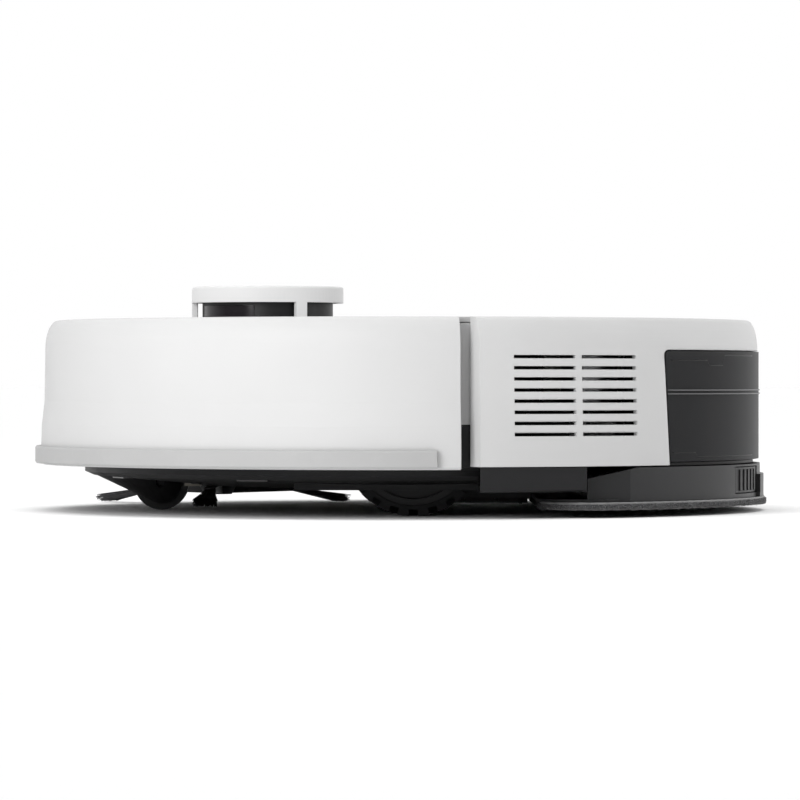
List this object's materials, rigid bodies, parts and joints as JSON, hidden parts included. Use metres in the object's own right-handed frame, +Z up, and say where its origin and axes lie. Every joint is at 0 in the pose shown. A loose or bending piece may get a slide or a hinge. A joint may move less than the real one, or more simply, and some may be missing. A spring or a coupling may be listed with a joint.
{
  "type": "robot vacuum",
  "caption": "Round robot vacuum and mop with a laser turret, sprung bumper, slide-out smoked water tank, clip-on mop plate, caster and brushes.",
  "frame": {"origin": "on the floor under the middle of the round body", "axes": "+X is the way it drives, +Y its left side, +Z up"},
  "size_m": [0.353, 0.353, 0.108],
  "materials": {
    "white_shell": "satin",
    "light_grey": "matte",
    "soft_strip": "matte",
    "black_plastic": "satin",
    "dark_grey": "satin",
    "gloss_black": "gloss",
    "smoked": "gloss",
    "rubber": "matte",
    "tyre": "matte",
    "microfibre": "matte",
    "bristle": "satin",
    "steel": "satin",
    "motor_can": "satin",
    "contact": "polished",
    "board_green": "satin",
    "cell_wrap": "satin",
    "filter_paper": "matte",
    "spring_steel": "satin"
  },
  "bodies": {
    "chassis": {"chassis_base": "black_plastic", "mid_frame": "light_grey", "top_cover": "white_shell", "battery": "cell_wrap", "battery_door": "black_plastic", "main_board": "board_green", "lds_base": "dark_grey", "lds_motor": "motor_can", "drive_belt": "rubber", "turret_cap": "white_shell", "pivot_pins": "steel", "side_brush_motor": "dark_grey", "brush_housing": "black_plastic", "brush_guard": "dark_grey", "scraper": "rubber", "brush_bearings": "dark_grey", "main_brush_motor": "motor_can", "dust_bin": "dark_grey", "dust_filter": "filter_paper", "fan_housing": "black_plastic", "fan_motor": "motor_can", "exhaust_duct": "dark_grey", "water_pump": "dark_grey", "speaker": "black_plastic", "charge_contacts": "contact", "cliff_sensors": "gloss_black", "bumper_switches": "black_plastic", "bumper_springs": "spring_steel", "screws": "steel"},
    "bumper": {"bumper": "white_shell", "bumper_strip": "soft_strip", "sensor_windows": "gloss_black"},
    "lid": {"lid": "white_shell"},
    "power_button": {"power_button": "white_shell"},
    "home_button": {"home_button": "white_shell"},
    "rotor": {"lds_rotor": "dark_grey", "rotor_window": "gloss_black"},
    "pulley": {"motor_pulley": "steel"},
    "left_arm": {"left_arm": "dark_grey", "left_spring": "spring_steel"},
    "left_wheel": {"left_hub": "dark_grey", "left_tyre": "tyre"},
    "right_arm": {"right_arm": "dark_grey", "right_spring": "spring_steel"},
    "right_wheel": {"right_hub": "dark_grey", "right_tyre": "tyre"},
    "caster_fork": {"caster_fork": "dark_grey"},
    "caster_wheel": {"caster_wheel": "rubber"},
    "side_brush": {"side_brush_hub": "dark_grey", "side_brush_bristles": "bristle"},
    "main_brush": {"main_brush_core": "dark_grey", "main_brush_fins": "bristle"},
    "impeller": {"fan_impeller": "light_grey"},
    "tank": {"tank": "smoked", "tank_plug": "rubber"},
    "tank_latch": {"tank_latch": "gloss_black"},
    "mop": {"mop_plate": "black_plastic", "mop_pad": "microfibre"},
    "left_mop_button": {"left_mop_button": "dark_grey"},
    "right_mop_button": {"right_mop_button": "dark_grey"}
  },
  "joints": [
    {"name": "bumper_press", "type": "slide", "parent": "chassis", "child": "bumper", "axis": [-1, 0, 0], "range_m": [0, 0.003], "stiffness_N_per_m": 500, "springref_m": -0.001},
    {"name": "lid_hinge", "type": "hinge", "parent": "chassis", "child": "lid", "pos_m": [0.009, 0, 0.087], "axis": [0, 1, 0], "range_deg": [0, 85]},
    {"name": "power_press", "type": "slide", "parent": "chassis", "child": "power_button", "axis": [0, 0, -1], "range_m": [0, 0.0008], "stiffness_N_per_m": 400, "springref_m": -0.0005},
    {"name": "home_press", "type": "slide", "parent": "chassis", "child": "home_button", "axis": [0, 0, -1], "range_m": [0, 0.0008], "stiffness_N_per_m": 400, "springref_m": -0.0005},
    {"name": "rotor_spin", "type": "hinge", "parent": "chassis", "child": "rotor", "pos_m": [0.064, 0, 0.075], "axis": [0, 0, 1], "continuous": true},
    {"name": "pulley_spin", "type": "hinge", "parent": "chassis", "child": "pulley", "pos_m": [0.014, 0, 0.075], "axis": [0, 0, 1], "continuous": true},
    {"name": "left_arm_swing", "type": "hinge", "parent": "chassis", "child": "left_arm", "pos_m": [-0.0465, 0.084, 0.04], "axis": [0, 1, 0], "range_deg": [0, 30], "stiffness_Nm_per_rad": 0.3, "springref_deg": 51.57},
    {"name": "left_wheel_spin", "type": "hinge", "parent": "left_arm", "child": "left_wheel", "pos_m": [-0.0065, 0.105, 0.0335], "axis": [0, 1, 0], "continuous": true},
    {"name": "right_arm_swing", "type": "hinge", "parent": "chassis", "child": "right_arm", "pos_m": [-0.0465, -0.084, 0.04], "axis": [0, 1, 0], "range_deg": [0, 30], "stiffness_Nm_per_rad": 0.3, "springref_deg": 51.57},
    {"name": "right_wheel_spin", "type": "hinge", "parent": "right_arm", "child": "right_wheel", "pos_m": [-0.0065, -0.105, 0.0335], "axis": [0, 1, 0], "continuous": true},
    {"name": "caster_swivel", "type": "hinge", "parent": "chassis", "child": "caster_fork", "pos_m": [0.126, 0, 0.03], "axis": [0, 0, 1], "continuous": true},
    {"name": "caster_roll", "type": "hinge", "parent": "caster_fork", "child": "caster_wheel", "pos_m": [0.1155, 0, 0.0132], "axis": [0, 1, 0], "continuous": true},
    {"name": "side_brush_spin", "type": "hinge", "parent": "chassis", "child": "side_brush", "pos_m": [0.092, -0.097, 0.02], "axis": [0, 0, 1], "continuous": true},
    {"name": "main_brush_spin", "type": "hinge", "parent": "chassis", "child": "main_brush", "pos_m": [-0.038, 0, 0.0204], "axis": [0, 1, 0], "continuous": true},
    {"name": "impeller_spin", "type": "hinge", "parent": "chassis", "child": "impeller", "pos_m": [-0.088, 0.102, 0.04], "axis": [0, 0, 1], "continuous": true},
    {"name": "tank_slide", "type": "slide", "parent": "chassis", "child": "tank", "axis": [-1, 0, 0], "range_m": [0, 0.07]},
    {"name": "latch_press", "type": "slide", "parent": "tank", "child": "tank_latch", "axis": [1, 0, 0], "range_m": [0, 0.003], "stiffness_N_per_m": 400, "springref_m": -0.001},
    {"name": "mop_slide", "type": "slide", "parent": "chassis", "child": "mop", "axis": [-1, 0, 0], "range_m": [0, 0.13]},
    {"name": "left_mop_press", "type": "slide", "parent": "mop", "child": "left_mop_button", "axis": [0.9469, -0.3214, 0], "range_m": [0, 0.0025], "stiffness_N_per_m": 400, "springref_m": -0.001},
    {"name": "right_mop_press", "type": "slide", "parent": "mop", "child": "right_mop_button", "axis": [0.9469, 0.3214, 0], "range_m": [0, 0.0025], "stiffness_N_per_m": 400, "springref_m": -0.001}
  ],
  "couplings": [
    {"joint": "pulley_spin", "follows": "rotor_spin", "ratio": 4.5}
  ]
}
